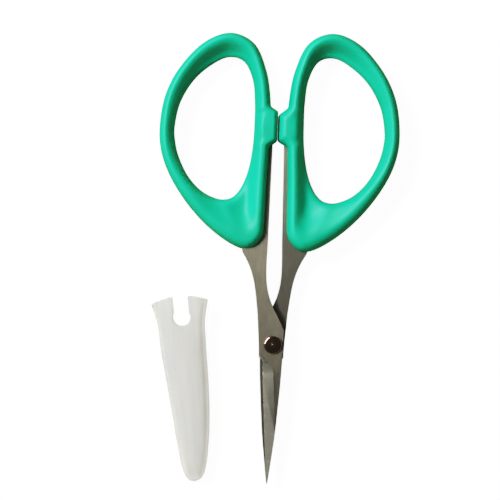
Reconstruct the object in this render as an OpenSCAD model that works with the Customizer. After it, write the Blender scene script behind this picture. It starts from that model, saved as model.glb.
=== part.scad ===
// Thread snips: two steel halves on a button-headed pivot, two moulded finger bows, and a soft slip-on sheath
// that lies beside them. Millimetres. The snips lie flat, tips towards -Y, on the plane z = 0.
// Outlines are measured from the snips' centre line and from the height of the pivot along Y.

/* [Blades] */
// Thickness of each steel half
plate_t = 1.6; // [1.4:0.05:1.7]
// Gap between the two halves' inner faces
plate_gap = 0.1; // [0.06:0.02:0.16]
// How far each blade's wide bevel drops towards its cutting edge, per mm across
bevel_slope = 0.2; // [0.14:0.02:0.24]
// How far each blade's outer face drops towards the tip, per mm along
taper_slope = 0.036; // [0.02:0.002:0.04]
// Radius of the wheel that ends the bevel below the pivot
wheel_r = 20; // [16:1:26]

/* [Pivot] */
// Diameter of the pivot's head
head_d = 4.2; // [3.8:0.1:4.6]
// Height of the head above the front half
head_h = 0.8; // [0.7:0.05:1.1]
// Diameter of the pivot's barrel
barrel_d = 2.5; // [2.2:0.1:2.8]

/* [Bows] */
// Thickness of a bow, from the surface that it lies on to its crown
bow_h = 7.5; // [7.1:0.1:7.8]
// How much of a bow's underside is taken off as a flat land
land_depth = 0.16; // [0.1:0.02:0.24]
// How deep the bows fall from their crown towards the finger holes, as a share of the modelled depth
dish = 1; // [0.6:0.1:1.1]
// How far the right bow's stop reaches over the centre line
stop_reach = 0.25; // [0:0.05:0.4]
// Gap between the two stops with the blades closed
stop_gap = 0.35; // [0.3:0.05:0.8]

/* [Sheath] */
// Wall of the sheath
sheath_wall = 0.7; // [0.5:0.05:0.8]
// Thickness of the sheath below its flared lip
sheath_h = 6.4; // [6.2:0.1:6.8]
// Width of the notch that clears the pivot's head
notch_w = 3.6; // [3.2:0.1:4]
// How far the sheath is turned from the snips as it lies beside them
sheath_turn = 6.8; // [5:0.2:8]

/* [Hidden] */

// Place of the pivot in the frame
pivot_y = -19.7;
pivot_x = 0.3;
mid_z = bow_h / 2 - land_depth;

// Half outline, from the tip up the cutting-edge side, round the tang and down the spine
tip_y = -31.8;
tip_half_w = 0.08;
cutting_edge = [[-tip_half_w, tip_y], [-1.2, -20.3], [-1.95, -10.3], [-2.35, -3.5]];
outer_side = [[-2.78, -3], [-2.88, -0.3], [-3.17, 3.7], [-3.5, 7.7], [-4.3, 13.4], [-5.2, 16.7],
              [-6.3, 19.2], [-7.4, 21.2], [-7.3, 22.6], [-6.2, 25.4], [-5.2, 30.5], [-4.6, 37], [-4.3, 44]];
tang_end = [[-3.9, 46.4], [-3, 46.9], [-2.3, 46.8], [-1.9, 46.4]];
inner_side = [[-1.33, 45.6], [-1.5, 34], [-1.64, 23.7], [-1.78, 18.2], [-1.54, 13.7], [-0.5, 9.8],
              [1.4, 6.1], [2.76, 3.4]];
spine = [[2.7, 0], [2.55, -3.4], [2.2, -10.3], [1.45, -20.3], [0.55, -28.3], [tip_half_w, tip_y]];

// The bevel's upper boundary is a straight ridge, which the wheel leaves at ridge_top
ridge_top = [0.63, -6.6];
ridge_turn = 4.05;
bevel_turn = atan(bevel_slope);
bevel_reach = [15.5, 40, 10];
ridge_spare = 0.5;
wheel_bite = 0.01;
taper_start = -6;
// The narrow bevel that is ground along the cutting edge: its plane passes edge_out outside the straight line
// between the edge's ends, edge_land above the inner face
edge_turn = 66;
edge_out = 0.18;
edge_land = 0.08;
edge_reach = 6;
lock_holes = [[-3.7, 26.5, 1.1], [-3.2, 36.5, 0.7]];

// Pivot stack
running = 0.05;
seat = 0.02;
thread_r = 0.8;
thread_fit = 0.01;
thread_roof = 0.3;
thread_gap = 0.2;
screw_reach = 2 * plate_t + plate_gap - thread_roof - thread_gap;
head_round_w = 0.46;
head_round_h = 0.4;
head_crown = 0.08;
washer_t = 0.2;
washer_r = 1.9;
screw_head_r = 1.9;
screw_head_h = 0.7;
slot_w = 0.5;
slot_depth = 0.35;
front_top = mid_z + plate_gap / 2 + plate_t;
rear_bottom = mid_z - plate_gap / 2 - plate_t;
washer_bottom = rear_bottom - washer_t;
barrel_end = rear_bottom + 0.1;

// Right bow: matching points round the finger hole and round the rim
hole_points = [[24, 49.7], [22.9, 54.9], [20.1, 59.9], [16.3, 63.5], [12.2, 65.6], [8.5, 64.7],
               [6.35, 60.5], [5.7, 55.2], [5.65, 50.2], [5.85, 45.2], [6.6, 40.2], [7.9, 36.3],
               [9.6, 33.8], [11.6, 32.8], [14.2, 33], [17.6, 34.7], [20.7, 38], [22.9, 42.3],
               [23.9, 46.2]];
rim_points = [[27.45, 49.7], [26.3, 56.7], [23.2, 63], [17.9, 68.8], [11.8, 71.2], [6.3, 68.9],
              [3.4, 63], [2.2, 56.7], [1.95, 50.2], [2.1, 44.2], [2.35, 37.2], [2.5, 29.7],
              [2.95, 24.5], [5.8, 21.6], [9.8, 22.4], [15.5, 26.3], [20.7, 31.7], [24.8, 37.9],
              [27, 43.7]];
bow_steps = 5;
section_sides = 24;
section_power = 0.85;
stop_zone = 6;
// Each bow keeps this share of the drawn outline, about the foot of its finger hole
right_size = 1.006;
left_size = 0.99;
size_centre = [2, 36];
// Width of the rounding along the rim and round the hole
rim_round = 1.8;
hole_round = 1.4;
round_power = 2.3;
// Fall from the crown towards the hole at each rim point: where it starts inside the rim, its width, depth
flanks = [[1.3, 2.4, 1.5], [1.3, 2.6, 1.7], [1.2, 3, 2.2], [1.2, 3.6, 2.8], [1.2, 4, 3], [1.3, 3.4, 2.8],
          [1.4, 3, 2.8], [1.4, 2.9, 2.7], [1.6, 2.8, 2.7], [1.6, 2.8, 2.7], [1.6, 3, 2.7], [1.6, 3.6, 2.6],
          [1.6, 4.2, 1.8], [4.2, 6, 1.6], [3.8, 5.6, 1.7], [2.4, 4.6, 1.8], [1.8, 3.4, 1.7], [1.4, 2.6, 1.5],
          [1.3, 2.4, 1.5]];
// The stops: both end at the same feet along Y, and the left one's face is longer
stop_foot = [45.6, 54.6];
right_stop_face = [47.4, 52];
left_stop_face = [47.4, 53.3];
stop_round = 1.3;

// Sheath, along its own axis from the closed end
sheath_place = [-16.45, -31.9];
width_points = [[0, 0.2], [0.5, 1.35], [1.4, 2.05], [2.6, 2.5], [4.6, 2.98], [7, 3.33], [11.5, 3.9],
                [18.5, 4.47], [30, 5.15], [35.5, 5.3], [38.6, 5.85], [41.2, 6.5]];
half_h_points = [[0, 0.2], [0.5, 0.9], [1.4, 1.4], [2.6, 1.75], [4.6, 2.05], [7, 2.25], [11.5, 2.5],
                 [18.5, 2.75], [30, 2.95], [35.5, 3], [38.6, 3.1], [41.2, 3.35]];
// The sheath rests on its lip and on its belly, so its axis climbs a little towards the mouth
axis_low = 2.26;
axis_climb = 0.0265;
lip_start = 35.5;
lip_end = 41.2;
lip_half_w = 6.5;
lip_arch = 1.3;
bow_of_sheath = 0.45;
bow_end = 30;
cavity_start = 3;
notch_depth = 6.9;
notch_round = 2.05;
notch_x = 0.2;
sheath_power = 0.72;
sheath_sides = 28;
sheath_steps = 2;

function catmull(a, b, c, d, t) =
    0.5 * (2 * b + (c - a) * t + (2 * a - 5 * b + 4 * c - d) * t ^ 2 + (3 * b - a - 3 * c + d) * t ^ 3);

// A smooth closed curve through the points, n steps from each to the next
function closed_curve(p, n) = let (m = len(p))
    [for (i = [0:m - 1], k = [0:n - 1])
        catmull(p[(i + m - 1) % m], p[i], p[(i + 1) % m], p[(i + 2) % m], k / n)];

// A smooth open curve through the points
function open_curve(p, n) = let (m = len(p) - 1)
    [for (i = [0:m - 1], k = [0:n - 1])
        catmull(p[max(i - 1, 0)], p[i], p[i + 1], p[min(i + 2, m)], k / n), p[m]];

function fade(x) = let (t = min(max(x, 0), 1)) t * t * (3 - 2 * t);
function signed_power(x, e) = sign(x) * pow(abs(x), e);

// A skin over rings of n points each, closed at both ends or joined end to end
module skin(rings, n, closed) {
    count = len(rings);
    spans = closed ? count : count - 1;
    sides = [for (i = [0:spans - 1], j = [0:n - 1])
        let (a = i * n, b = (i + 1) % count * n, k = (j + 1) % n)
        each [[a + j, b + j, b + k], [a + j, b + k, a + k]]];
    caps = closed ? [] : [[for (j = [0:n - 1]) j], [for (j = [n - 1:-1:0]) (count - 1) * n + j]];
    polyhedron([for (r = rings) each r], concat(sides, caps), convexity = 6);
}

// Plan of the front half; the rear half is the same plan turned over
module half_plan() {
    polygon(concat(open_curve(cutting_edge, 4), open_curve(outer_side, 4), open_curve(tang_end, 3),
                   open_curve(inner_side, 4), open_curve(spine, 4)));
}

// Tips its children with the taper of the outer face
module tapered() {
    translate([0, taper_start, plate_t]) rotate([atan(taper_slope), 0, 0])
        translate([0, -taper_start, 0]) children();
}

// The taper of the outer face towards the tip
module taper_cut() {
    tapered() translate([-bevel_reach.x / 2, taper_start - bevel_reach.y, 0]) cube(bevel_reach);
}

// The wide bevel and the wheel that ends it, over the tapered outer face of the front half
module bevel_cut() {
    tapered() translate([ridge_top.x, ridge_top.y, 0]) rotate([0, 0, ridge_turn])
        rotate([0, -bevel_turn, 0]) {
            translate([ridge_spare - bevel_reach.x, -bevel_reach.y, 0]) cube(bevel_reach);
            translate([ridge_spare - bevel_reach.x, 0, wheel_r - wheel_bite]) rotate([0, 90, 0])
                cylinder(h = bevel_reach.x, r = wheel_r, $fn = 180);
        }
}

// The narrow bevel along the cutting edge
module edge_cut() {
    foot = cutting_edge[0];
    way = cutting_edge[3] - foot;
    translate([foot.x - edge_out, foot.y, edge_land]) rotate([0, 0, atan2(-way.x, way.y)])
        rotate([0, -edge_turn, 0]) translate([-1, -1, 0]) cube([edge_reach, norm(way) + 1, edge_reach]);
}

// One steel half, inner face at z = 0, with its bore bore_x from the centre line
module steel_half(bore_x, bore_r) {
    difference() {
        linear_extrude(plate_t) half_plan();
        bevel_cut();
        taper_cut();
        edge_cut();
        translate([bore_x, 0, -1]) cylinder(h = plate_t + 2, r = bore_r, $fn = 48);
        for (h = lock_holes)
            translate([h.x, h.y, -1]) cylinder(h = plate_t + 2, r = h.z, $fn = 32);
    }
}

module front_half() {
    translate([0, pivot_y, mid_z + plate_gap / 2]) steel_half(pivot_x, barrel_d / 2 + running);
}

module rear_half() {
    translate([0, pivot_y, mid_z - plate_gap / 2]) rotate([0, 180, 0])
        steel_half(-pivot_x, barrel_d / 2 + seat);
}

module front_blade() {
    color([0.55, 0.53, 0.46]) front_half();
}

module rear_blade() {
    color([0.45, 0.43, 0.37]) rear_half();
}

// How far the stop stands out at height y, from 0 at its feet to 1 along its face
function stop_share(y, face) =
    fade((y - stop_foot[0]) / (face[0] - stop_foot[0])) * fade((stop_foot[1] - y) / (stop_foot[1] - face[1]));

// Height of a rounded edge at distance d inside it, from 0 at the edge to 1 past width r
function rounded(d, r) = pow(1 - pow(1 - min(max(d / r, 0), 1), round_power), 1 / round_power);

// Half thickness of a bow at one point: rounded at both edges, and falling from the crown along its rim
function bow_height(to_edge, edge_round, to_hole, to_rim, flank) =
    rounded(to_edge, edge_round) * rounded(to_hole, hole_round)
    * (bow_h / 2 - dish * flank[2] * fade((to_rim - flank[0]) / flank[1]));

// How squarely the line from inner to outer meets the curve that runs from a to b
function squareness(inner, outer, a, b) =
    let (along = (b - a) / norm(b - a), across = (outer - inner) / norm(outer - inner))
    abs(across.x * along.y - across.y * along.x);

// A bow's section at ring i, from the hole's edge to the rim or to the stop's face
function bow_ring(inner, outer, flank, i, stop) =
    let (m = len(inner), a = (i + m - 1) % m, b = (i + 1) % m,
         out = outer[i].x < stop_zone ? stop_share(outer[i].y, stop[1]) : 0,
         edge = [outer[i].x + (stop[0] - outer[i].x) * out, outer[i].y],
         w = norm(edge - inner[i]),
         rim_sq = squareness(inner[i], outer[i], outer[a], outer[b]),
         hole_sq = squareness(inner[i], outer[i], inner[a], inner[b]),
         edge_round = rim_round + (stop_round - rim_round) * out)
    [for (j = [0:section_sides - 1])
        let (turn = 360 * j / section_sides,
             share = 0.5 - 0.5 * signed_power(cos(turn), section_power),
             p = inner[i] + (edge - inner[i]) * share,
             to_edge = w * (1 - share) * rim_sq,
             to_rim = to_edge - norm(edge - outer[i]),
             half = bow_height(to_edge, edge_round, w * share * hole_sq, to_rim, flank),
             side = j == 0 || 2 * j == section_sides ? 0 : sign(sin(turn)))
        [p.x, p.y, mid_z + side * half]];

function resized(points, share) = [for (p = points) size_centre + (p - size_centre) * share];

// The right-hand bow before the tang is let into it, with a flat land on its underside
module bow_solid(size, stop) {
    inner = closed_curve(resized(hole_points, size), bow_steps);
    outer = closed_curve(resized(rim_points, size), bow_steps);
    fall = closed_curve(flanks, bow_steps);
    translate([0, pivot_y, 0]) difference() {
        skin([for (i = [0:len(inner) - 1]) bow_ring(inner, outer, fall[i], i, stop)], section_sides, true);
        translate([-bow_h, 0, -bow_h]) cube([50, 90, bow_h]);
    }
}

module right_bow() {
    color([0.05, 0.76, 0.56]) difference() {
        bow_solid(right_size, [-stop_reach, right_stop_face]);
        rear_half();
    }
}

module left_bow() {
    color([0.05, 0.76, 0.56]) difference() {
        mirror([1, 0, 0]) bow_solid(left_size, [stop_reach + stop_gap, left_stop_face]);
        front_half();
    }
}

// Low button head: a straight side, a rounded edge and a faintly crowned top
module pivot_head() {
    side_r = head_d / 2;
    crown_r = side_r - head_round_w;
    crown_foot = head_h - head_crown;
    rotate_extrude($fn = 72) polygon(concat(
        [[0, 0], [side_r, 0]],
        [for (a = [0:15:90]) [crown_r + head_round_w * cos(a), crown_foot + head_round_h * (sin(a) - 1)]],
        [for (k = [5:-1:0]) [crown_r * k / 6, crown_foot + head_crown * (1 - (k / 6) ^ 2)]]));
}

// The head and the barrel that both halves turn on, with a blind hole for the screw
module pivot_post() {
    color([0.3, 0.26, 0.24]) translate([pivot_x, pivot_y, 0]) difference() {
        union() {
            translate([0, 0, barrel_end])
                cylinder(h = front_top + head_h / 2 - barrel_end, r = barrel_d / 2, $fn = 48);
            translate([0, 0, front_top + seat]) pivot_head();
        }
        translate([0, 0, barrel_end - 1])
            cylinder(h = front_top - thread_roof - barrel_end + 1, r = thread_r, $fn = 48);
    }
}

// Slotted screw that closes the pivot from behind
module pivot_screw() {
    color([0.5, 0.48, 0.44]) translate([pivot_x, pivot_y, washer_bottom - screw_head_h]) difference() {
        union() {
            cylinder(h = screw_head_h, r = screw_head_r, $fn = 64);
            cylinder(h = screw_head_h + washer_t + screw_reach, r = thread_r - thread_fit, $fn = 48);
        }
        translate([-head_d, -slot_w / 2, -1]) cube([2 * head_d, slot_w, 1 + slot_depth]);
    }
}

module pivot_washer() {
    color([0.7, 0.58, 0.32]) translate([pivot_x, pivot_y, washer_bottom]) difference() {
        cylinder(h = washer_t, r = washer_r, $fn = 64);
        translate([0, 0, -1]) cylinder(h = washer_t + 2, r = thread_r + running, $fn = 48);
    }
}

// Centre of the sheath across its own axis, for the slight curve that it has taken
function sheath_centre(v) = bow_of_sheath * sin(180 * min(v / bow_end, 1));

// One ring of the sheath at v, with its skin drawn in by inset
function sheath_ring(v, half_w, half_h, inset, axis_z) =
    [for (j = [0:sheath_sides - 1])
        let (a = 360 * j / sheath_sides,
             u = (half_w - inset) * signed_power(cos(a), sheath_power),
             z = (half_h - inset) * signed_power(sin(a), sheath_power),
             arch = lip_arch * fade((v - lip_start) / (lip_end - lip_start)) * (1 - (u / lip_half_w) ^ 2))
        [sheath_centre(v) + u, v + arch, z + axis_z]];

module sheath_body() {
    widths = open_curve(width_points, sheath_steps);
    heights = open_curve(half_h_points, sheath_steps);
    last = len(widths) - 1;
    tall = sheath_h / 6;
    function ring(i, inset) = sheath_ring(widths[i][0], widths[i][1], heights[i][1] * tall, inset,
                                          (axis_low + axis_climb * widths[i][0]) * tall);
    outer = [for (i = [0:last]) ring(i, 0)];
    inner = [for (i = [last:-1:0]) if (widths[i][0] > cavity_start) ring(i, sheath_wall)];
    skin(concat(outer, inner), sheath_sides, false);
}

// Keyhole notch through both faces of the mouth
module notch_cut() {
    bottom = lip_end + lip_arch - notch_depth;
    translate([notch_x, 0, -1]) linear_extrude(3 * sheath_h) union() {
        translate([-notch_w / 2, bottom + notch_round]) square([notch_w, notch_depth]);
        translate([0, bottom + notch_round]) circle(r = notch_round, $fn = 48);
    }
}

module sheath() {
    color([0.88, 0.87, 0.83, 0.8]) translate([sheath_place.x, sheath_place.y + pivot_y, 0])
        rotate([0, 0, sheath_turn]) difference() {
            sheath_body();
            notch_cut();
        }
}

front_blade();
rear_blade();
left_bow();
right_bow();
pivot_post();
pivot_screw();
pivot_washer();
sheath();
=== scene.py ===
"""Looks of the thread snips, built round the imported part. The frame is in metres; lengths here are in
millimetres and go through MM. Outlines repeat the part's own: they are measured from the snips' centre
line and from the height of the pivot along Y."""

import math

import bmesh
import bpy
import numpy as np
from mathutils import Matrix, Vector


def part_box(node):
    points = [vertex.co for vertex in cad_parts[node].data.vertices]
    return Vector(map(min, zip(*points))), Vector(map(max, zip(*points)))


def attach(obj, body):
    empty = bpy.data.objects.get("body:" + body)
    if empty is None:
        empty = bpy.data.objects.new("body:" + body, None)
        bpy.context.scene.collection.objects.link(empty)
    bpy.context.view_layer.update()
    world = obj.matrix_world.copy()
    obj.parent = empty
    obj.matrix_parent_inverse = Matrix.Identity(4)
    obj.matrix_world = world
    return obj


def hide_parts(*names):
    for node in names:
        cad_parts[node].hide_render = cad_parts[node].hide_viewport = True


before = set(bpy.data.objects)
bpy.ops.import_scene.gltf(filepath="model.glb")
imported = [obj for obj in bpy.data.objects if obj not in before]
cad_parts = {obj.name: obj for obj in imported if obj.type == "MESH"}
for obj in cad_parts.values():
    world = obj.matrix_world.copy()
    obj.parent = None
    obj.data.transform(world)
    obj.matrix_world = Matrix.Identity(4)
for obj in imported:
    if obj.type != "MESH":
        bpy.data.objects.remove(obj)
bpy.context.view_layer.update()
MM = 0.001

# ---------------------------------------------------------------- places that come from the frame


def node_box(name):
    """Lowest and highest corner of a CAD node, in millimetres."""
    low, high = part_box(name)
    return np.array(low) / MM, np.array(high) / MM


post_low, post_high = node_box("pivot_post")
PIVOT = np.append((post_low + post_high)[:2] / 2, 0)
rear_high = node_box("rear_blade")[1]
front_low, front_high = node_box("front_blade")
MID_Z = (rear_high[2] + front_low[2]) / 2
BOW_H = 2 * (node_box("right_bow")[1][2] - MID_Z)

# ---------------------------------------------------------------- mesh helpers


def linked(name, data):
    """A new object in the scene."""
    obj = bpy.data.objects.new(name, data)
    bpy.context.scene.collection.objects.link(obj)
    return obj


def new_object(name, mesh, material, body, *nodes):
    """An object for a finished mesh that rides on a body and stands for the named CAD nodes."""
    obj = linked(name, mesh)
    for m in material if isinstance(material, (list, tuple)) else [material]:
        obj.data.materials.append(m)
    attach(obj, body)
    if nodes:
        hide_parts(*nodes)
    return obj


MERGE = 1e-4


def mesh_from(name, points, faces):
    """A smooth-shaded mesh from points in millimetres, with its normals outwards."""
    mesh = bpy.data.meshes.new(name)
    mesh.from_pydata((np.asarray(points) * MM).tolist(), [], faces)
    mesh.polygons.foreach_set("use_smooth", [True] * len(mesh.polygons))
    bm = bmesh.new()
    bm.from_mesh(mesh)
    bmesh.ops.remove_doubles(bm, verts=bm.verts, dist=MERGE * MM)
    bmesh.ops.recalc_face_normals(bm, faces=bm.faces)
    bm.to_mesh(mesh)
    bm.free()
    return mesh


def ring_faces(count, size, closed):
    """Quads that join count rings of size points; closed joins the last ring to the first."""
    spans = count if closed else count - 1
    return [(i * size + j, (i + 1) % count * size + j,
             (i + 1) % count * size + (j + 1) % size, i * size + (j + 1) % size)
            for i in range(spans) for j in range(size)]


def catmull(points, steps, closed):
    """A smooth curve through the points, steps parts from each point to the next."""
    p = np.asarray(points, float)
    spans = len(p) if closed else len(p) - 1
    pick = (lambda i: p[i % len(p)]) if closed else (lambda i: p[min(max(i, 0), len(p) - 1)])
    t = np.arange(steps)[:, None] / steps
    parts = []
    for i in range(spans):
        a, b, c, d = (pick(i + k) for k in (-1, 0, 1, 2))
        parts.append(0.5 * (2 * b + (c - a) * t + (2 * a - 5 * b + 4 * c - d) * t**2
                            + (3 * b - a - 3 * c + d) * t**3))
    if not closed:
        parts.append(p[-1:])
    return np.concatenate(parts)


def fade(x):
    """From 0 to 1 with no slope at either end."""
    t = np.clip(x, 0, 1)
    return t * t * (3 - 2 * t)


def signed_power(x, e):
    """The power of a size, with the sign kept."""
    return np.sign(x) * np.abs(x) ** e


def lathe(name, profile, sides):
    """A turned mesh about the pivot's axis from (radius, z) points; radius 0 closes an end."""
    turns = np.linspace(0, 2 * math.pi, sides, endpoint=False)
    rings = [np.stack([r * np.cos(turns), r * np.sin(turns), np.full(sides, z)], 1) for r, z in profile]
    points = np.concatenate(rings) + PIVOT
    return mesh_from(name, points, ring_faces(len(profile), sides, False))


CAD_MERGE = 2e-3
FLAT_ANGLE, RIDGE_ANGLE, EASE_ANGLE, CREASE_ANGLE = (math.radians(a) for a in (0.6, 4, 15, 50))
LYING = 0.5
EASE_PROFILE = 0.6


def bevelled_copy(node, width, wall, skip_below=-math.inf):
    """The CAD node's faces, joined where they are flat and with their edges eased. Only edges of walls
    taller than wall are eased, and none below skip_below along Y. Ridges between lying faces stay sharp."""
    bm = bmesh.new()
    bm.from_mesh(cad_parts[node].data)
    bmesh.ops.remove_doubles(bm, verts=bm.verts, dist=CAD_MERGE * MM)
    bmesh.ops.dissolve_limit(bm, angle_limit=FLAT_ANGLE, verts=bm.verts, edges=bm.edges)
    bmesh.ops.recalc_face_normals(bm, faces=bm.faces)

    def tall_enough(edge):
        spans = []
        for face in edge.link_faces:
            if abs(face.normal.z) < LYING:
                heights = [v.co.z for v in face.verts]
                spans.append(max(heights) - min(heights))
        return not spans or min(spans) > wall * MM

    for edge in bm.edges:
        lying = len(edge.link_faces) == 2 and min(abs(f.normal.z) for f in edge.link_faces) > LYING
        edge.smooth = not (lying and edge.calc_face_angle() > RIDGE_ANGLE)
    to_ease = [e for e in bm.edges
               if len(e.link_faces) == 2 and e.calc_face_angle() > EASE_ANGLE
               and min(v.co.y for v in e.verts) > skip_below * MM and tall_enough(e)]
    bmesh.ops.bevel(bm, geom=to_ease, offset=width * MM, offset_type="OFFSET", segments=2,
                    profile=EASE_PROFILE, affect="EDGES", clamp_overlap=False)
    for edge in bm.edges:
        if len(edge.link_faces) != 2 or edge.calc_face_angle() > CREASE_ANGLE:
            edge.smooth = False
    for face in bm.faces:
        face.smooth = True
    mesh = bpy.data.meshes.new(node + "_eased")
    bm.to_mesh(mesh)
    bm.free()
    for layer in [a for a in mesh.attributes if a.name == "custom_normal"]:
        mesh.attributes.remove(layer)
    mesh.materials.clear()
    return mesh


FLAT_WEIGHT = 100


def weigh_normals(obj):
    """Large flat faces keep their own normal, so only the eased edges turn the light."""
    weigh = obj.modifiers.new("flats", "WEIGHTED_NORMAL")
    weigh.keep_sharp = True
    weigh.weight = FLAT_WEIGHT


# ---------------------------------------------------------------- node helpers


# The Mix node's colour sockets
MIX_A, MIX_B, MIX_RESULT = 6, 7, 2


class Paint:
    """A Principled material and the few kinds of node that this scene uses."""

    def __init__(self, name, colour, roughness, **settings):
        self.mat = bpy.data.materials.new(name)
        self.mat.use_nodes = True
        self.tree = self.mat.node_tree
        self.shader = self.tree.nodes["Principled BSDF"]
        self.set("Base Color", (*colour, 1))
        self.set("Roughness", roughness)
        for socket, value in settings.items():
            self.set(socket.replace("_", " "), value)
        self.coords = self.tree.nodes.new("ShaderNodeTexCoord").outputs["Object"]

    def set(self, socket, value):
        self.shader.inputs[socket].default_value = value

    def link(self, output, socket):
        self.tree.links.new(output, self.shader.inputs[socket])

    def node(self, kind, feeds=(), **settings):
        """A new node: feeds gives what goes into its inputs, and settings its own properties."""
        made = self.tree.nodes.new("ShaderNode" + kind)
        for key, value in settings.items():
            setattr(made, key, value)
        for key, value in dict(feeds).items():
            if isinstance(value, bpy.types.NodeSocket):
                self.tree.links.new(value, made.inputs[key])
            else:
                made.inputs[key].default_value = value
        return made

    def place(self, periods, turn=0.0):
        """Object coordinates along axes turned about Z, divided by a period in millimetres along each."""
        scale = [p * MM for p in periods]
        return self.node("Mapping", {"Vector": self.coords, "Rotation": (0, 0, turn), "Scale": scale},
                         vector_type="TEXTURE").outputs[0]

    def noise(self, periods, detail=2.0, roughness=0.5, turn=0.0):
        """Noise with the given periods in millimetres along each axis."""
        return self.node("TexNoise", {"Vector": self.place(periods, turn), "Scale": 1.0, "Detail": detail,
                                      "Roughness": roughness}).outputs["Fac"]

    def ramp(self, value, low, high, out_low=0.0, out_high=1.0):
        """A value between low and high, moved to between out_low and out_high."""
        return self.node("MapRange", {"Value": value, "From Min": low, "From Max": high,
                                      "To Min": out_low, "To Max": out_high}).outputs[0]

    def mix(self, share, a, b):
        """The colour a, or b where share is 1."""
        made = self.node("Mix", {"Factor": share, MIX_A: (*a, 1), MIX_B: (*b, 1)}, data_type="RGBA")
        return made.outputs[MIX_RESULT]

    def sum(self, a, b):
        return self.node("Math", {0: a, 1: b}, operation="ADD").outputs[0]

    def bump(self, height, depth):
        """A bump whose height from 0 to 1 stands for depth millimetres."""
        return self.node("Bump", {"Height": height, "Strength": 1.0, "Distance": depth * MM}).outputs[0]


def plastic():
    """Teal moulded plastic: satin, with a slow change of tone, faint orange peel and rubbed spots."""
    paint = Paint("bow_plastic", (0.004, 0.58, 0.33), 0.5, IOR=1.5, Specular_IOR_Level=0.35)
    tone = paint.ramp(paint.noise((9, 9, 9), 3), 0.3, 0.7)
    paint.link(paint.mix(tone, (0.002, 0.54, 0.34), (0.004, 0.60, 0.39)), "Base Color")
    rub = paint.ramp(paint.noise((2.2, 2.2, 2.2), 5, 0.65), 0.35, 0.75, 0.44, 0.54)
    paint.link(rub, "Roughness")
    peel = paint.noise((0.45, 0.45, 0.45), 3)
    paint.link(paint.bump(peel, 0.004), "Normal")
    return paint.mat


BRUSH = 0.9
STREAK_ROUGH = 0.06


def steel(name, colour, dark, roughness, grain, streak_depth=0.004, spread=None):
    """Stainless steel with fine lines whose periods across and along are in grain; it spreads the light
    along spread, across its lines."""
    paint = Paint(name, colour, roughness, Metallic=1.0)
    if spread:
        paint.set("Anisotropic", BRUSH)
        way = paint.node("CombineXYZ", {"X": spread[0], "Y": spread[1]})
        turned = paint.node("VectorTransform", {"Vector": way.outputs[0]}, vector_type="VECTOR",
                            convert_from="OBJECT", convert_to="WORLD")
        paint.link(turned.outputs[0], "Tangent")
    lines = paint.noise(grain, 4, 0.7)
    cloud = paint.noise((3.5, 7, 3.5), 3, 0.6)
    tone = paint.ramp(paint.sum(lines, cloud), 0.75, 1.25)
    paint.link(paint.mix(tone, dark, colour), "Base Color")
    paint.link(paint.ramp(lines, 0.25, 0.75, roughness - STREAK_ROUGH, roughness + STREAK_ROUGH), "Roughness")
    paint.link(paint.bump(lines, streak_depth), "Normal")
    return paint.mat


def vinyl():
    """Milky soft vinyl with slow warm and cool zones and faint lengthwise streaks."""
    paint = Paint("sheath_vinyl", (0.90, 0.89, 0.87), 0.42, IOR=1.45, Alpha=0.42, Subsurface_Weight=0.3,
                  Subsurface_Radius=(2.0, 1.9, 1.7), Subsurface_Scale=MM)
    zones = paint.noise((9, 16, 9), 2)
    streaks = paint.noise((1.3, 40, 1.3), 2, turn=SHEATH_TURN)
    tone = paint.ramp(paint.sum(zones, streaks), 0.8, 1.2)
    paint.link(paint.mix(tone, (0.80, 0.83, 0.84), (0.99, 0.93, 0.87)), "Base Color")
    paint.link(paint.ramp(paint.noise((1.5, 4, 1.5), 3), 0.3, 0.7, 0.32, 0.45), "Roughness")
    paint.link(paint.bump(paint.noise((1.2, 3.5, 1.2), 3), 0.01), "Normal")
    return paint.mat


# ---------------------------------------------------------------- finger bows

HOLE_POINTS = [[24, 49.7], [22.9, 54.9], [20.1, 59.9], [16.3, 63.5], [12.2, 65.6], [8.5, 64.7],
               [6.35, 60.5], [5.7, 55.2], [5.65, 50.2], [5.85, 45.2], [6.6, 40.2], [7.9, 36.3],
               [9.6, 33.8], [11.6, 32.8], [14.2, 33], [17.6, 34.7], [20.7, 38], [22.9, 42.3],
               [23.9, 46.2]]
RIM_POINTS = [[27.45, 49.7], [26.3, 56.7], [23.2, 63], [17.9, 68.8], [11.8, 71.2], [6.3, 68.9],
              [3.4, 63], [2.2, 56.7], [1.95, 50.2], [2.1, 44.2], [2.35, 37.2], [2.5, 29.7],
              [2.95, 24.5], [5.8, 21.6], [9.8, 22.4], [15.5, 26.3], [20.7, 31.7], [24.8, 37.9],
              [27, 43.7]]
BOW_STEPS = 14
SECTION_SIDES = 96
SECTION_POWER = 0.85
SINE_DIGITS = 9
RIGHT_SIZE, LEFT_SIZE = 1.006, 0.99
SIZE_CENTRE = np.array([2, 36])
ROUND_POWER = 2.3
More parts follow.
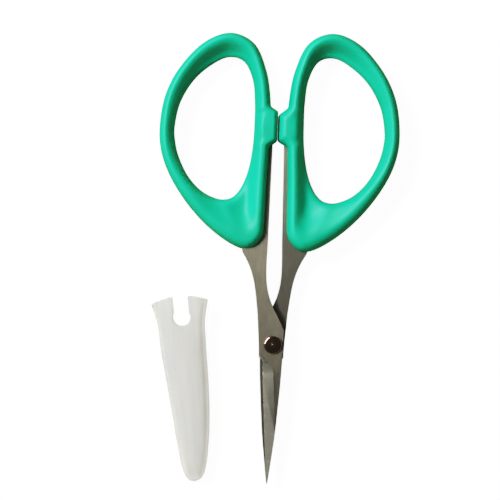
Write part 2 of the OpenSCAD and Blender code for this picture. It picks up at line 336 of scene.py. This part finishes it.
# At each outline point: width of the rounding at the rim and at the hole, then where the fall from the
# crown starts inside the rim, its width and its depth
SECTIONS = [[1.5, 1.2, 1.3, 2.4, 1.5], [1.4, 1.2, 1.3, 2.8, 1.7], [1.3, 1.1, 1.2, 3.2, 2.2],
            [1.2, 1, 1.2, 3.8, 2.8], [1.2, 0.9, 1.2, 4.2, 3.1], [1.3, 0.9, 1.3, 3.6, 2.9],
            [1.5, 1, 1.4, 3, 2.8], [1.6, 1.1, 1.4, 2.9, 2.7], [1.4, 1.2, 1.6, 2.8, 2.7],
            [1.4, 1.2, 1.6, 2.8, 2.7], [1.5, 1.4, 1.6, 3, 2.7], [1.6, 1.6, 1.6, 3.4, 2.7],
            [1.7, 1.7, 1.6, 3.7, 2.4], [2.2, 1.7, 3.2, 5, 1.8], [2.2, 1.7, 2.1, 4.4, 1.7],
            [2, 1.6, 1.9, 4.2, 1.8], [1.8, 1.5, 1.8, 3.4, 1.7], [1.6, 1.3, 1.4, 2.6, 1.5],
            [1.5, 1.2, 1.3, 2.4, 1.5]]
FLANK_EASE = (0.35, 0.4)
# Spread of the blur along the bow, in rings
RING_EASE = 5
# The stops: they stand out of the outline where its x is below STOP_ZONE, between the heights in STOP_FOOT,
# and are at their full reach between the heights in their FACE
STOP_ZONE = 6
STOP_FOOT = (44.9, 54.5)
RIGHT_STOP_FACE, LEFT_STOP_FACE = (46.7, 52), (46.7, 53.1)
STOP_REACH, STOP_GAP = 0.25, 0.04
RIGHT_STOP_ROUND, LEFT_STOP_ROUND = 2.2, 1.1
RIGHT_RIM_SHARE, LEFT_RIM_SHARE = 1.15, 1


def rounded(d, r):
    """Height of a rounded edge at distance d inside it, from 0 at the edge to 1 past width r."""
    return (1 - (1 - np.clip(d / r, 0, 1)) ** ROUND_POWER) ** (1 / ROUND_POWER)


def even_fall(t, ease):
    """From 0 to 1 with an even slope between two eased ends, whose shares of the way are in ease."""
    t = np.clip(t, 0, 1)
    start, end = ease
    slope = 1 / (1 - (start + end) / 2)
    first = np.minimum(t, start) ** 2 / (2 * start)
    middle = np.clip(t - start, 0, 1 - start - end)
    last = np.clip(t - (1 - end), 0, end)
    return slope * (first + middle + last - last**2 / (2 * end))


def distances(points, curve):
    """Distance of each point to the closed curve that runs through curve's points."""
    step = np.roll(curve, -1, 0) - curve
    length_sq = (step**2).sum(1)
    nearest = np.full(points.shape[:-1], np.inf)
    for start, way, sq in zip(curve, step, length_sq):
        gap = points - start
        share = np.clip((gap @ way) / sq, 0, 1)
        gap = gap - share[..., None] * way
        nearest = np.minimum(nearest, np.sqrt((gap**2).sum(-1)))
    return nearest


def ring_blur(field):
    """A field over the rings, blurred from ring to ring."""
    reach = 3 * RING_EASE
    weights = np.exp(-0.5 * (np.arange(-reach, reach + 1) / RING_EASE) ** 2)
    return sum(w * np.roll(field, k - reach, 0) for k, w in enumerate(weights / weights.sum()))


def stop_share(y, face):
    """How far the stop stands out at height y, from 0 at its feet to 1 along its face."""
    foot = fade((y - STOP_FOOT[0]) / (face[0] - STOP_FOOT[0]))
    return foot * fade((STOP_FOOT[1] - y) / (STOP_FOOT[1] - face[1]))


def bow_mesh(name, side, size, reach, face, stop_round, rim_share):
    """A bow; side is 1 for the right one and -1 for the left one, which mirrors it. Its stop reaches the
    line x = reach along face, with an edge rounded over stop_round; rim_share scales the rim's rounding."""
    inner, outer = (catmull(SIZE_CENTRE + (np.array(p) - SIZE_CENTRE) * size, BOW_STEPS, True)
                    for p in (HOLE_POINTS, RIM_POINTS))
    rim_round, hole_round, start, flank, depth = catmull(SECTIONS, BOW_STEPS, True).T[:, :, None]
    out = np.where(outer[:, 0] < STOP_ZONE, stop_share(outer[:, 1], face), 0)
    edge = outer.copy()
    edge[:, 0] += (reach - outer[:, 0]) * out
    turn = np.linspace(0, 2 * math.pi, SECTION_SIDES, endpoint=False)
    share = (0.5 - 0.5 * signed_power(np.cos(turn), SECTION_POWER))[None, :]
    plan = inner[:, None, :] + (edge - inner)[:, None, :] * share[..., None]
    chord = np.linalg.norm(outer - inner, axis=1)[:, None]
    inside = np.sign(chord - np.linalg.norm(plan - inner[:, None, :], axis=2))
    edge_round = rim_share * rim_round + (stop_round - rim_share * rim_round) * out[:, None]
    to_edge = distances(plan, edge)
    to_hole = distances(plan, inner)
    to_rim = distances(plan, outer) * inside
    crown = BOW_H / 2 - ring_blur(depth * even_fall((to_rim - start) / flank, FLANK_EASE))
    half = crown * rounded(to_edge, edge_round) * rounded(to_hole, hole_round)
    upper = np.sign(np.round(np.sin(turn), SINE_DIGITS))[None, :]
    z = np.maximum(MID_Z + upper * half, 0)
    points = np.stack([side * plan[..., 0], plan[..., 1] + PIVOT[1], z], 2).reshape(-1, 3)
    faces = ring_faces(len(inner), SECTION_SIDES, True)
    return mesh_from(name, points, faces)


green = plastic()
right_skin = bow_mesh("right_bow_skin", 1, RIGHT_SIZE, -STOP_REACH, RIGHT_STOP_FACE,
                      RIGHT_STOP_ROUND, RIGHT_RIM_SHARE)
left_skin = bow_mesh("left_bow_skin", -1, LEFT_SIZE, STOP_REACH + STOP_GAP, LEFT_STOP_FACE,
                     LEFT_STOP_ROUND, LEFT_RIM_SHARE)
right_bow = new_object("right_bow_skin", right_skin, green, "rear_half", "right_bow")
left_bow = new_object("left_bow_skin", left_skin, green, "front_half", "left_bow")

# ---------------------------------------------------------------- steel halves

ALONG_X, ALONG_Y = (1, 0), (0, 1)
OUTER, GROUND, INNER = range(3)
brushed = steel("front_steel", (0.52, 0.495, 0.40), (0.39, 0.365, 0.30), 0.5, (0.12, 4, 0.12),
                spread=ALONG_X)
# The rear half's upper face: the same steel as the front, made darker. The darkness is painted shade.
rear_face_painted_shade = steel("rear_steel", (0.32, 0.305, 0.255), (0.25, 0.235, 0.195), 0.46, (0.12, 4, 0.12),
                     spread=ALONG_X)
# Cross-ground finish for the bevel: its grain is real, and its colour, darker than the shank's steel, is
# painted shade.
ground = steel("bevel_steel_painted_shade", (0.355, 0.35, 0.30), (0.295, 0.29, 0.25), 0.36, (3, 0.10, 3),
               streak_depth=0.0015, spread=ALONG_Y)
inner_steel = steel("inner_steel", (0.42, 0.41, 0.34), (0.35, 0.34, 0.27), 0.40, (0.10, 5, 0.10),
                    spread=ALONG_X)
BLADE_EASE, BLADE_WALL, KEEN_TIP = 0.06, 0.4, 3
BEVEL_FACING = (0.9, 0.99)


def steel_half(node, body, outer_up, finish, inside):
    """A steel half whose outer face, ground bevel and inner face each have their own material. The bevel's
    darker colour and, on the rear half, the inner face's darker copy of the steel are painted shade. Its last
    KEEN_TIP millimetres stay as sharp as they are."""
    mesh = bevelled_copy(node, BLADE_EASE, BLADE_WALL, front_low[1] + KEEN_TIP)
    obj = new_object(node + "_ground", mesh, [finish, ground, inside], body, node)
    for face in mesh.polygons:
        facing = face.normal.z * outer_up
        if facing < -LYING:
            face.material_index = INNER
        elif BEVEL_FACING[0] < facing < BEVEL_FACING[1]:
            face.material_index = GROUND
        else:
            face.material_index = OUTER
    weigh_normals(obj)
    return obj


front = steel_half("front_blade", "front_half", 1, brushed, inner_steel)
# The rear half's upper face gets the darker copy of the steel, which paints shade on it.
rear = steel_half("rear_blade", "rear_half", -1, brushed, rear_face_painted_shade)

# ---------------------------------------------------------------- pivot


def chrome():
    """Polished plating with hair scratches; its dark red-brown colour is a painted reflection of a dark, warm
    room.
    """
    # Red-brown base colours: painted reflection on the polished head; the hair noise varies them like
    # scratches.
    paint = Paint("pivot_chrome", (0.30, 0.20, 0.17), 0.12, Metallic=0.96)
    hair = paint.noise((0.05, 1.6, 0.4), 3, 0.7, turn=0.6)
    paint.link(paint.mix(hair, (0.28, 0.17, 0.14), (0.38, 0.28, 0.24)), "Base Color")
    paint.link(paint.ramp(hair, 0.3, 0.8, 0.12, 0.22), "Roughness")
    return paint.mat


def brass():
    """Plain rubbed brass."""
    paint = Paint("washer_brass", (0.70, 0.56, 0.30), 0.35, Metallic=1.0)
    rub = paint.noise((0.6, 0.6, 0.6), 4, 0.6)
    paint.link(paint.mix(rub, (0.58, 0.44, 0.22), (0.76, 0.62, 0.36)), "Base Color")
    paint.link(paint.ramp(rub, 0.3, 0.7, 0.28, 0.45), "Roughness")
    return paint.mat


HEAD_R = (post_high[0] - post_low[0]) / 2
HEAD_TOP = post_high[2]
HEAD_LIFT = 0.02
HEAD_FOOT = front_high[2] + HEAD_LIFT
BARREL_R, CHAMFER = 1.25, 0.05
HEAD_SIDES, ROUND_STEPS, CROWN_STEPS = 96, 13, 16
HEAD_ROUND_W, HEAD_ROUND_H, HEAD_CROWN = 0.8, 0.4, 0.12
CROWN_R = HEAD_R - HEAD_ROUND_W
CROWN_FOOT = HEAD_TOP - HEAD_CROWN
head_profile = [[0, post_low[2]], [BARREL_R - CHAMFER, post_low[2]], [BARREL_R, post_low[2] + CHAMFER],
                [BARREL_R, HEAD_FOOT], [HEAD_R - CHAMFER, HEAD_FOOT], [HEAD_R, HEAD_FOOT + CHAMFER]]
for turn in np.linspace(0, math.pi / 2, ROUND_STEPS):
    head_profile.append([CROWN_R + HEAD_ROUND_W * math.cos(turn),
                         CROWN_FOOT + HEAD_ROUND_H * (math.sin(turn) - 1)])
for share in np.linspace(1, 0, CROWN_STEPS)[1:]:
    head_profile.append([CROWN_R * share, CROWN_FOOT + HEAD_CROWN * (1 - share**2)])
head_mesh = lathe("pivot_head", head_profile, HEAD_SIDES)
post = new_object("pivot_head", head_mesh, chrome(), "rear_half", "pivot_post")

SCREW_EASE, WASHER_EASE, SMALL_WALL = 0.05, 0.03, 0.1
screw_mat = steel("screw_steel", (0.52, 0.50, 0.46), (0.40, 0.39, 0.35), 0.3, (0.15, 0.15, 0.15))
screw_mesh = bevelled_copy("pivot_screw", SCREW_EASE, SMALL_WALL)
screw = new_object("slotted_screw", screw_mesh, screw_mat, "rear_half", "pivot_screw")
weigh_normals(screw)
washer_mesh = bevelled_copy("pivot_washer", WASHER_EASE, SMALL_WALL)
washer = new_object("thin_washer", washer_mesh, brass(), "rear_half", "pivot_washer")
weigh_normals(washer)

# ---------------------------------------------------------------- sheath

# The sheath's own axes start at its tip: v runs to the mouth, u across, and SHEATH_TURN turns them in plan.
# Half the width and half the height are given at places along v
SHEATH_TURN = math.radians(6.8)
SHEATH_PLACE = np.array([-16.45, -31.9 + PIVOT[1]])
WIDTH_POINTS = [[0, 0.2], [0.5, 1.35], [1.4, 2.05], [2.6, 2.5], [4.6, 2.98], [7, 3.33], [11.5, 3.9],
                [18.5, 4.47], [30, 5.15], [35.5, 5.3], [38.6, 5.85], [41.2, 6.5]]
HALF_H_POINTS = [[0, 0.2], [0.5, 0.9], [1.4, 1.4], [2.6, 1.75], [4.6, 2.05], [7, 2.25], [11.5, 2.5],
                 [18.5, 2.75], [30, 2.95], [35.5, 3], [38.6, 3.1], [41.2, 3.35]]
TALL = 6.4 / 6
AXIS_LOW, AXIS_CLIMB = 2.26, 0.0265
LIP_START, LIP_END, LIP_HALF_W, LIP_ARCH = 35.5, 41.2, 6.5, 1.3
SIDE_BOW, BOW_END = 0.45, 30
WALL, CAVITY_START = 0.7, 1.3
NOTCH_W, NOTCH_DEPTH, NOTCH_ROUND, NOTCH_X = 3.6, 6.9, 2.05, 0.2
SHEATH_POWER = 0.72
SHEATH_SIDES = 112
SHEATH_STEPS = 8
NOTCH_STEPS, NOTCH_SPAN = 41, (-1, 10)
VOXEL, SOFTEN, SOFTENINGS = 0.14, 0.5, 4


def sheath_ring(v, half_w, half_h, inset):
    """One ring of the sleeve at v along its axis, inset from its outer face."""
    turn = np.linspace(0, 2 * math.pi, SHEATH_SIDES, endpoint=False)
    u = (half_w - inset) * signed_power(np.cos(turn), SHEATH_POWER)
    z = (half_h * TALL - inset) * signed_power(np.sin(turn), SHEATH_POWER)
    arch = LIP_ARCH * fade((v - LIP_START) / (LIP_END - LIP_START)) * (1 - (u / LIP_HALF_W) ** 2)
    centre = SIDE_BOW * math.sin(math.pi * min(v / BOW_END, 1))
    return np.stack([centre + u, v + arch, z + (AXIS_LOW + AXIS_CLIMB * v) * TALL], 1)


def to_frame(points):
    """From the sheath's own axes to the frame."""
    turned = np.array(Matrix.Rotation(SHEATH_TURN, 3, "Z"))
    return np.asarray(points) @ turned.T + np.append(SHEATH_PLACE, 0)


def sheath_shell():
    """The sleeve with its hollow, closed at the tip and along the mouth."""
    widths = catmull(WIDTH_POINTS, SHEATH_STEPS, False)
    heights = catmull(HALF_H_POINTS, SHEATH_STEPS, False)
    outer = [sheath_ring(w[0], w[1], h[1], 0) for w, h in zip(widths, heights)]
    inner = [sheath_ring(w[0], w[1], h[1], WALL) for w, h in zip(widths, heights) if w[0] > CAVITY_START]
    rings = outer + inner[::-1]
    faces = ring_faces(len(rings), SHEATH_SIDES, False)
    last = (len(rings) - 1) * SHEATH_SIDES
    faces.append(list(range(SHEATH_SIDES))[::-1])
    faces.append([last + j for j in range(SHEATH_SIDES)])
    return mesh_from("sheath_shell", to_frame(np.concatenate(rings)), faces)


def notch_prism():
    """Keyhole notch through both faces of the mouth."""
    bottom = LIP_END + LIP_ARCH - NOTCH_DEPTH + NOTCH_ROUND
    half = NOTCH_W / 2
    meet = math.asin(half / NOTCH_ROUND)
    arc = [[NOTCH_ROUND * math.sin(a), bottom - NOTCH_ROUND * math.cos(a)]
           for a in np.linspace(-(math.pi - meet), math.pi - meet, NOTCH_STEPS)]
    outline = arc + [[half, bottom + NOTCH_DEPTH], [-half, bottom + NOTCH_DEPTH]]
    plan = np.array(outline) + [NOTCH_X, 0]
    rings = [np.column_stack([plan, np.full(len(plan), z)]) for z in NOTCH_SPAN]
    n = len(plan)
    faces = ring_faces(2, n, False) + [list(range(n))[::-1], [n + j for j in range(n)]]
    return mesh_from("notch_prism", to_frame(np.concatenate(rings)), faces)


def shaped(obj):
    """The object's mesh with its modifiers applied."""
    bpy.context.view_layer.update()
    graph = bpy.context.evaluated_depsgraph_get()
    return bpy.data.meshes.new_from_object(obj.evaluated_get(graph))


shell = linked("sheath_shell", sheath_shell())
prism = linked("notch_prism", notch_prism())
cut = shell.modifiers.new("notch", "BOOLEAN")
cut.object, cut.operation, cut.solver = prism, "DIFFERENCE", "EXACT"
even = shell.modifiers.new("even", "REMESH")
even.mode, even.voxel_size, even.use_smooth_shade = "VOXEL", VOXEL * MM, True
soft = shell.modifiers.new("soft", "SMOOTH")
soft.factor, soft.iterations = SOFTEN, SOFTENINGS
sheath_mesh = shaped(shell)
for helper in (shell, prism):
    bpy.data.objects.remove(helper)
sheath_mesh.materials.clear()
sheath = new_object("sheath_sleeve", sheath_mesh, vinyl(), "loose_sheath", "sheath")

# ---------------------------------------------------------------- floor, light and camera

FLOOR_HALF, FLOOR_DROP, FLOOR_CELLS = 3, 0.02, 8
FLOOR_GLOW, FLOOR_SHADED = 0.97, (0.05, 0.05, 0.05, 1)
FLOOR_IN_GLOSS = (0.10, 0.10, 0.085, 1)
FLOOR_BOUNCE = (0.5, 0.50, 0.15)


def floor():
    """A white sweep with a little light of its own, so that the shadows on it stay faint. Reflections see
    it dark, as in a room behind a lit table, and the light that it throws back is warm."""
    bm = bmesh.new()
    bmesh.ops.create_grid(bm, x_segments=FLOOR_CELLS, y_segments=FLOOR_CELLS, size=FLOOR_HALF)
    mesh = bpy.data.meshes.new("floor")
    bm.to_mesh(mesh)
    bm.free()
    obj = linked("floor", mesh)
    obj.location.z = -FLOOR_DROP * MM
    paint = Paint("floor", FLOOR_BOUNCE, 0.9)
    seen = paint.node("BsdfDiffuse", {"Color": FLOOR_SHADED})
    glow = paint.node("Emission", {"Color": (1, 1, 1, 1), "Strength": FLOOR_GLOW})
    bright = paint.node("AddShader", {0: seen.outputs[0], 1: glow.outputs[0]})
    dark = paint.node("BsdfDiffuse", {"Color": FLOOR_IN_GLOSS})
    sight = paint.node("LightPath")
    unseen = paint.node("MixShader", {0: sight.outputs["Is Glossy Ray"], 1: paint.shader.outputs[0],
                                      2: dark.outputs[0]})
    mixed = paint.node("MixShader", {0: sight.outputs["Is Camera Ray"], 1: unseen.outputs[0],
                                     2: bright.outputs[0]})
    paint.tree.links.new(mixed.outputs[0], paint.tree.nodes["Material Output"].inputs["Surface"])
    obj.data.materials.append(paint.mat)


def area_light(name, azimuth, elevation, distance, width, height, power):
    """A softbox that faces the origin; azimuth turns from +X to +Y, in degrees, and lengths are metres."""
    data = bpy.data.lights.new(name, "AREA")
    data.shape, data.energy = "RECTANGLE", power
    data.size, data.size_y = width, height
    obj = linked(name, data)
    a, e = math.radians(azimuth), math.radians(elevation)
    towards = Vector((math.cos(e) * math.cos(a), math.cos(e) * math.sin(a), math.sin(e)))
    obj.location = towards * distance
    obj.rotation_euler = towards.to_track_quat("Z", "Y").to_euler()


floor()
area_light("key", azimuth=148, elevation=47, distance=0.7, width=0.46, height=0.16, power=5.2)
area_light("glint", azimuth=248, elevation=87.8, distance=0.6, width=0.02, height=0.02, power=0.014)

HORIZON, ZENITH = (0.62, 0.60, 0.44, 1), (0.033, 0.03, 0.02, 1)
GLOW_RANGE = (0.2, 0.42)


def room():
    """A dark room that glows near the horizon, up to the heights in GLOW_RANGE."""
    world = bpy.data.worlds.new("room")
    world.use_nodes = True
    tree = world.node_tree
    way = tree.nodes.new("ShaderNodeTexCoord")
    split = tree.nodes.new("ShaderNodeSeparateXYZ")
    climb = tree.nodes.new("ShaderNodeMapRange")
    shade = tree.nodes.new("ShaderNodeMix")
    shade.data_type = "RGBA"
    climb.inputs["From Min"].default_value, climb.inputs["From Max"].default_value = GLOW_RANGE
    shade.inputs[MIX_A].default_value, shade.inputs[MIX_B].default_value = HORIZON, ZENITH
    tree.links.new(way.outputs["Generated"], split.inputs[0])
    tree.links.new(split.outputs["Z"], climb.inputs["Value"])
    tree.links.new(climb.outputs[0], shade.inputs["Factor"])
    tree.links.new(shade.outputs[MIX_RESULT], tree.nodes["Background"].inputs["Color"])
    bpy.context.scene.world = world


room()

AIM = Vector((-5.65, 1.74, 0)) * MM
CAMERA_H = 0.6
CAMERA_ROLL = math.radians(1.984)
FIELD = 115 * MM
CLIP_START = 0.01
# Points of the combined tone curve, which is the fourth one
TONES = ((0.1, 0.085), (0.3, 0.36), (0.5, 0.60), (0.8, 0.82))
COMBINED = 3

camera = linked("camera", bpy.data.cameras.new("camera"))
camera.location = AIM + Vector((0, 0, CAMERA_H))
camera.rotation_euler = (0, 0, CAMERA_ROLL)
camera.data.lens = camera.data.sensor_width * CAMERA_H / FIELD
camera.data.clip_start = CLIP_START
bpy.context.scene.camera = camera

settings = bpy.context.scene.view_settings
settings.view_transform = "Standard"
settings.use_curve_mapping = True
for x, y in TONES:
    settings.curve_mapping.curves[COMBINED].points.new(x, y)
settings.curve_mapping.update()
